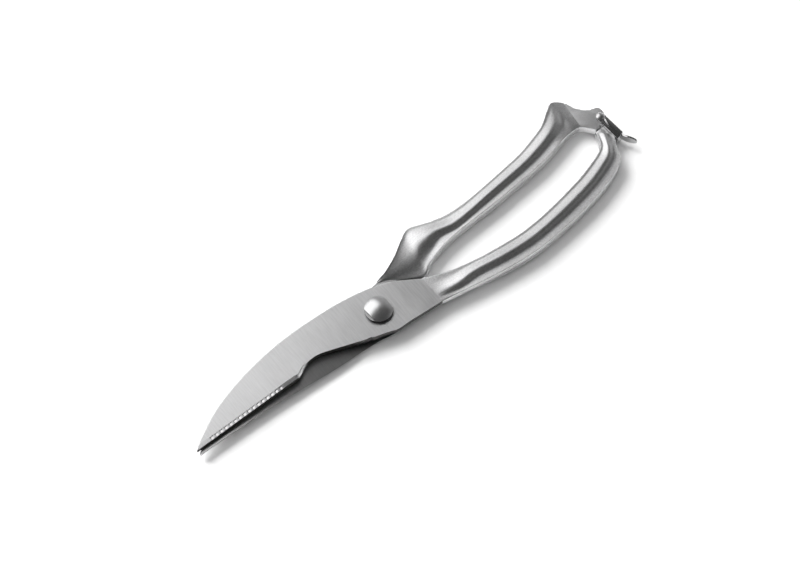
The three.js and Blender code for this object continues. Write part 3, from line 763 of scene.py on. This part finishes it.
def cut_flat(bm, side, ledge_z):
    """Cuts a flat into the head: everything outside x = HEAD_FLAT and above the ledge goes."""
    everything = bm.verts[:] + bm.edges[:] + bm.faces[:]
    wall_point = (side * HEAD_FLAT, 0, 0)
    bmesh.ops.bisect_plane(
        bm, geom=everything, plane_co=wall_point, plane_no=(side, 0, 0), dist=1e-5)
    outside = [f for f in bm.faces if f.calc_center_median().x * side > HEAD_FLAT]
    corners = list({v for f in outside for v in f.verts})
    edges = list({e for f in outside for e in f.edges})
    bmesh.ops.bisect_plane(
        bm, geom=corners + edges + outside, plane_co=(0, 0, ledge_z), plane_no=(0, 0, 1), dist=1e-5)
    gone = []
    for f in bm.faces:
        c = f.calc_center_median()
        if c.x * side > HEAD_FLAT and c.z > ledge_z:
            gone.append(f)
    bmesh.ops.delete(bm, geom=gone, context="FACES")
    open_edges = [e for e in bm.edges if e.is_boundary]
    level = [e for e in open_edges if all(abs(v.co.z - ledge_z) < NEAR for v in e.verts)]
    wall = [e for e in open_edges if all(abs(v.co.x * side - HEAD_FLAT) < NEAR for v in e.verts)]
    ends = [v for v in {v for e in level for v in e.verts} if abs(v.co.x * side - HEAD_FLAT) < NEAR]
    chord = bm.edges.new(ends) if len(ends) == 2 and not bm.edges.get(ends) else None
    extra = [chord] if chord else []
    bmesh.ops.contextual_create(bm, geom=level + extra)
    bmesh.ops.contextual_create(bm, geom=wall + extra)


pivot_screw()

NUT_ROUND = 0.35
NUT_ROUND_MIDDLE = 0.1
NUT_BARREL_RADIUS = 3.6
NUT_BORE_RADIUS = 2.45
NUT_BORE_LOW = 1.8


def pivot_nut():
    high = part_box("pivot_nut")[1]
    top = high.z / MM
    washer_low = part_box("pivot_washer_bottom")[0].z / MM
    flange = high.x / MM
    profile = [(0, 0), (flange - NUT_ROUND, 0), (flange - NUT_ROUND_MIDDLE, NUT_ROUND_MIDDLE)]
    profile += [(flange, NUT_ROUND), (flange, washer_low - WASHER_GAP)]
    profile += [(NUT_BARREL_RADIUS, washer_low - WASHER_GAP), (NUT_BARREL_RADIUS, top)]
    profile += [(NUT_BORE_RADIUS, top), (NUT_BORE_RADIUS, NUT_BORE_LOW), (0, NUT_BORE_LOW)]
    bm = lathe(profile)
    finish_mesh("pivot_nut_fine", bm, polished_steel, "front_half", ["pivot_nut"])


pivot_nut()

for washer in ("pivot_washer_top", "pivot_washer_bottom"):
    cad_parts[washer].data.materials.clear()
    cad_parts[washer].data.materials.append(polished_steel)
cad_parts["torsion_spring"].data.materials.clear()
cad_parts["torsion_spring"].data.materials.append(spring_steel)

# ---------------------------------------------------------------- handle ends and latch

# Edges that bend less than the first angle are dissolved, and those over the second are rounded.
FLAT_ANGLE = math.radians(2)
CORNER_ANGLE = math.radians(40)


def rounded_copy(node, radius, material, body):
    """A piece with a CAD node's shape and its sharp edges rounded off."""
    bm = bmesh.new()
    bm.from_mesh(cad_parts[node].data)
    bm.transform(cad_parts[node].matrix_world)
    bmesh.ops.scale(bm, vec=(1 / MM, 1 / MM, 1 / MM), verts=bm.verts)
    bmesh.ops.remove_doubles(bm, verts=bm.verts, dist=0.001)
    bmesh.ops.dissolve_limit(bm, angle_limit=FLAT_ANGLE, verts=bm.verts, edges=bm.edges)
    inner_edges = [e for e in bm.edges if len(e.link_faces) == 2]
    sharp = [e for e in inner_edges if e.calc_face_angle(0) > CORNER_ANGLE]
    bmesh.ops.bevel(
        bm, geom=sharp, offset=radius, segments=3, profile=0.5, affect="EDGES", clamp_overlap=True)
    finish_mesh(node + "_fine", bm, material, body, [node])


rounded_copy("front_catch_plate", 0.35, handle_steel, "front_half")
rounded_copy("rear_lug_plate", 0.35, plate_steel, "rear_half")
rounded_copy("latch", 0.16, latch_steel, "latch")
rounded_copy("latch_pin", 0.25, polished_steel, "rear_half")

# ---------------------------------------------------------------- floor and light

# These lengths are in metres.
FLOOR_HALF = 2.0
FLOOR_TONES = (0.88, 0.9)
FLOOR_SPECKS = (300, 300, 300)


def make_floor():
    bm = bmesh.new()
    bmesh.ops.create_grid(bm, x_segments=8, y_segments=8, size=FLOOR_HALF)
    mesh = bpy.data.meshes.new("floor")
    bm.to_mesh(mesh)
    bm.free()
    material, nodes, links, shader = new_material("floor_paint")
    speck = stretched_noise(nodes, links, 0, FLOOR_SPECKS)
    tone = ranged(nodes, links, speck, *FLOOR_TONES)
    links.new(grey(nodes, links, tone, (1, 1, 1)), shader.inputs["Base Color"])
    shader.inputs["Roughness"].default_value = 0.9
    shader.inputs["Specular IOR Level"].default_value = 0.1
    mesh.materials.append(material)
    floor = bpy.data.objects.new("floor", mesh)
    bpy.context.scene.collection.objects.link(floor)


# The steel mirrors a big softbox, the world's dim glow, and two dim lamps opposite the softbox that
# show when the shears are seen from behind. Lamps that the steel doesn't mirror light the floor:
# one with the softbox, which casts the shadow, and one overhead, which fills it.
SOFTBOX_DIRECTION = Vector((-0.16, 0.70, 0.70)).normalized()
SOFTBOX_DISTANCE = 1.1
SOFTBOX_SIZE = (1.45, 0.98)
SOFTBOX_RADIANCE = 1.6
KEY_SIZE = (0.85, 0.85)
KEY_POWER = 24.0
FILL_HEIGHT = 1.6
FILL_SIZE = (2.2, 2.2)
FILL_POWER = 15.0
OVERHEAD = Vector((0, 0, 1))
BACK_DIRECTIONS = (
    Vector((0.58, -0.62, 0.50)).normalized(),
    Vector((-0.66, -0.56, 0.50)).normalized(),
)
BACK_SIZE = (0.8, 0.5)
BACK_RADIANCE = 0.3


def add_area_light(name, direction, distance, size, power, mirrored):
    """A lamp that faces the shears, and that either the steel mirrors or the floor is lit by."""
    data = bpy.data.lights.new(name, "AREA")
    data.shape = "RECTANGLE"
    data.size, data.size_y = size
    data.energy = power
    lamp = bpy.data.objects.new(name, data)
    lamp.location = direction * distance
    lamp.rotation_euler = direction.to_track_quat("Z", "Y").to_euler()
    lamp.visible_glossy = mirrored
    lamp.visible_diffuse = not mirrored
    bpy.context.scene.collection.objects.link(lamp)


def make_lights():
    softbox_power = SOFTBOX_RADIANCE * math.pi * SOFTBOX_SIZE[0] * SOFTBOX_SIZE[1]
    add_area_light(
        "softbox", SOFTBOX_DIRECTION, SOFTBOX_DISTANCE, SOFTBOX_SIZE, softbox_power, True)
    back_power = BACK_RADIANCE * math.pi * BACK_SIZE[0] * BACK_SIZE[1]
    for number, direction in enumerate(BACK_DIRECTIONS):
        add_area_light(f"back_{number}", direction, SOFTBOX_DISTANCE, BACK_SIZE, back_power, True)
    add_area_light("key", SOFTBOX_DIRECTION, SOFTBOX_DISTANCE, KEY_SIZE, KEY_POWER, False)
    add_area_light("fill", OVERHEAD, FILL_HEIGHT, FILL_SIZE, FILL_POWER, False)


# The world's strength is CEILING, and rises to GLOW in the directions near GLOW_AXIS.
GLOW_AXIS = Vector((0.93, 0.37, 0))
GLOW_RANGE = (0.5, 0.95)
CEILING = 0.06
GLOW = 0.4


def make_world():
    world = bpy.data.worlds.new("studio")
    world.use_nodes = True
    bpy.context.scene.world = world
    nodes = world.node_tree.nodes
    links = world.node_tree.links
    background = nodes["Background"]
    coords = nodes.new("ShaderNodeTexCoord")
    dot = nodes.new("ShaderNodeVectorMath")
    dot.operation = "DOT_PRODUCT"
    dot.inputs[1].default_value = GLOW_AXIS
    fade = nodes.new("ShaderNodeMapRange")
    fade.interpolation_type = "SMOOTHSTEP"
    fade.inputs["From Min"].default_value = GLOW_RANGE[0]
    fade.inputs["From Max"].default_value = GLOW_RANGE[1]
    fade.inputs["To Min"].default_value = CEILING
    fade.inputs["To Max"].default_value = GLOW
    links.new(coords.outputs["Generated"], dot.inputs[0])
    links.new(dot.outputs["Value"], fade.inputs["Value"])
    links.new(fade.outputs["Result"], background.inputs["Strength"])
    background.inputs["Color"].default_value = (1, 1, 1, 1)


make_floor()
make_lights()
make_world()
bpy.context.scene.view_settings.view_transform = "Standard"
